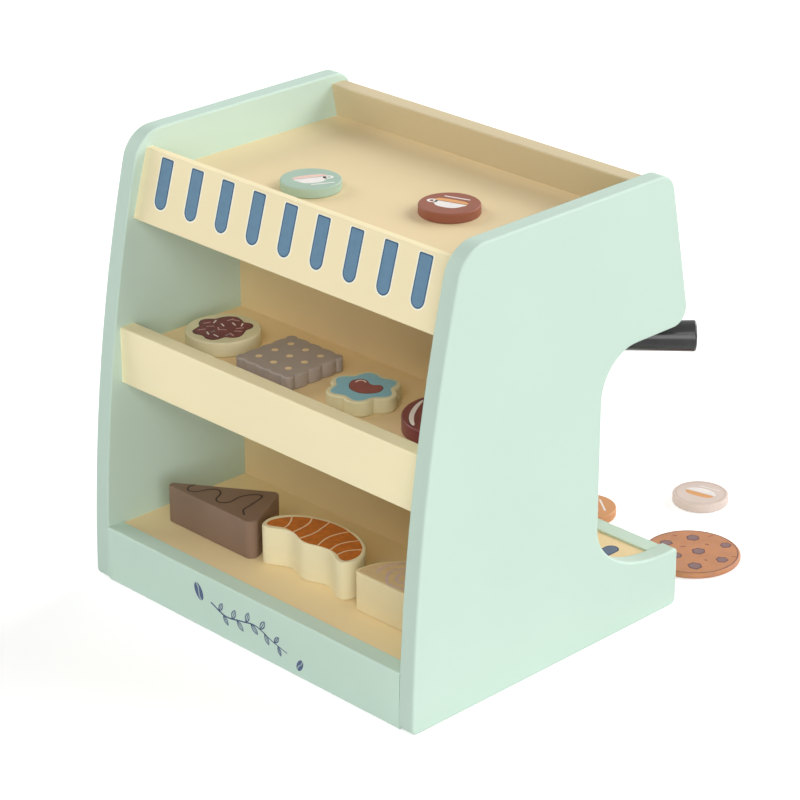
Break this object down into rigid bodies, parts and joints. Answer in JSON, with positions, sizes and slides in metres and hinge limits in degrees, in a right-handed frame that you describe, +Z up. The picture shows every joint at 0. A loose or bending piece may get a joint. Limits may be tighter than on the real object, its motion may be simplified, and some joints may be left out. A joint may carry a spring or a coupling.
{
  "type": "toy coffee maker",
  "caption": "Double-sided wooden play coffee maker: espresso machine in front, pastry shop behind, with loose drink tokens, biscuits and cakes.",
  "frame": {"origin": "on the table, midway between the end panels and midway between the foot and the shop front", "axes": "+Z up, the machine's front faces -Y and the pastry shop faces +Y, +X to the right seen from the machine's front"},
  "size_m": [0.29, 0.3785, 0.2945],
  "materials": {
    "mint_paint": "satin paint on board",
    "cream_paint": "satin paint on board",
    "beech_dowel": "bare turned beech",
    "black_lacquer": "gloss lacquer on turned wood",
    "grey_paint": "satin paint on turned wood",
    "token_mint_paint": "satin paint, printed top",
    "token_brown_paint": "satin paint, printed top",
    "token_orange_paint": "satin paint, printed top",
    "token_pink_paint": "satin paint, printed top",
    "biscuit_cream": "satin paint, printed top",
    "waffle_grey": "satin paint, printed top",
    "glaze_red": "satin paint, printed top",
    "biscuit_tan": "satin paint, printed top",
    "cake_brown": "satin paint, printed top",
    "pastry_cream": "satin paint, printed top"
  },
  "bodies": {
    "machine": {"side_panel_left": "mint_paint", "side_panel_right": "mint_paint", "kick_board_rear": "mint_paint", "kick_board_front": "mint_paint", "base_board": "cream_paint", "base_stretcher": "mint_paint", "partition_board": "cream_paint", "middle_shelf": "cream_paint", "shelf_lip": "cream_paint", "tray_board": "cream_paint", "fascia_board": "cream_paint", "front_panel": "cream_paint", "head_floor": "cream_paint", "joint_dowels": "beech_dowel", "token_rest": "cream_paint", "group_head": "grey_paint", "group_pin": "beech_dowel", "steam_collar": "grey_paint"},
    "brew_knob": {"brew_knob": "black_lacquer", "brew_knob_axle": "beech_dowel", "brew_knob_collar": "beech_dowel"},
    "steam_knob": {"steam_knob": "black_lacquer", "steam_knob_axle": "beech_dowel", "steam_knob_collar": "beech_dowel"},
    "portafilter": {"portafilter_basket": "grey_paint", "portafilter_handle": "black_lacquer", "portafilter_spouts": "grey_paint"},
    "steam_wand": {"steam_wand": "grey_paint", "steam_tip": "black_lacquer", "wand_washer": "beech_dowel"},
    "token_mint": {"token_mint": "token_mint_paint"},
    "token_brown": {"token_brown": "token_brown_paint"},
    "token_orange": {"token_orange": "token_orange_paint"},
    "token_white": {"token_white": "token_pink_paint"},
    "cookie_jam": {"cookie_jam": "biscuit_cream"},
    "cookie_waffle": {"cookie_waffle": "waffle_grey"},
    "cookie_flower": {"cookie_flower": "biscuit_cream"},
    "cookie_glazed": {"cookie_glazed": "glaze_red"},
    "cookie_choc_chip": {"cookie_choc_chip": "biscuit_tan"},
    "cake_wedge": {"cake_wedge": "cake_brown"},
    "croissant": {"croissant": "pastry_cream"},
    "roll_half": {"roll_half": "pastry_cream"}
  },
  "joints": [
    {"name": "brew_knob_turn", "type": "hinge", "parent": "machine", "child": "brew_knob", "pos_m": [-0.085, -0.10476, 0.24669], "axis": [0, -0.9806, 0.1961], "continuous": true},
    {"name": "steam_knob_turn", "type": "hinge", "parent": "machine", "child": "steam_knob", "pos_m": [0.085, -0.10476, 0.24669], "axis": [0, -0.9806, 0.1961], "continuous": true},
    {"name": "portafilter_turn", "type": "hinge", "parent": "machine", "child": "portafilter", "pos_m": [-0.052, -0.0795, 0.168], "axis": [0, 0, 1], "range_deg": [-45, 90]},
    {"name": "steam_wand_turn", "type": "hinge", "parent": "machine", "child": "steam_wand", "pos_m": [0.052, -0.0795, 0.19], "axis": [0, 0, 1], "range_deg": [-45, 45]},
    {"name": "lift_token_mint", "type": "slide", "parent": "machine", "child": "token_mint", "axis": [0, 0, 1], "range_m": [0, 0.04]},
    {"name": "lift_token_brown", "type": "slide", "parent": "machine", "child": "token_brown", "axis": [0, 0, 1], "range_m": [0, 0.04]},
    {"name": "lift_token_orange", "type": "slide", "parent": "machine", "child": "token_orange", "axis": [0, 0, 1], "range_m": [0, 0.04]},
    {"name": "lift_token_white", "type": "slide", "parent": "machine", "child": "token_white", "axis": [0, 0, 1], "range_m": [0, 0.04]},
    {"name": "lift_cookie_jam", "type": "slide", "parent": "machine", "child": "cookie_jam", "axis": [0, 0, 1], "range_m": [0, 0.04]},
    {"name": "lift_cookie_waffle", "type": "slide", "parent": "machine", "child": "cookie_waffle", "axis": [0, 0, 1], "range_m": [0, 0.04]},
    {"name": "lift_cookie_flower", "type": "slide", "parent": "machine", "child": "cookie_flower", "axis": [0, 0, 1], "range_m": [0, 0.04]},
    {"name": "lift_cookie_glazed", "type": "slide", "parent": "machine", "child": "cookie_glazed", "axis": [0, 0, 1], "range_m": [0, 0.04]},
    {"name": "lift_cookie_choc_chip", "type": "slide", "parent": "machine", "child": "cookie_choc_chip", "axis": [0, 0, 1], "range_m": [0, 0.04]},
    {"name": "lift_cake_wedge", "type": "slide", "parent": "machine", "child": "cake_wedge", "axis": [0, 0, 1], "range_m": [0, 0.04]},
    {"name": "lift_croissant", "type": "slide", "parent": "machine", "child": "croissant", "axis": [0, 0, 1], "range_m": [0, 0.04]},
    {"name": "lift_roll_half", "type": "slide", "parent": "machine", "child": "roll_half", "axis": [0, 0, 1], "range_m": [0, 0.04]}
  ]
}
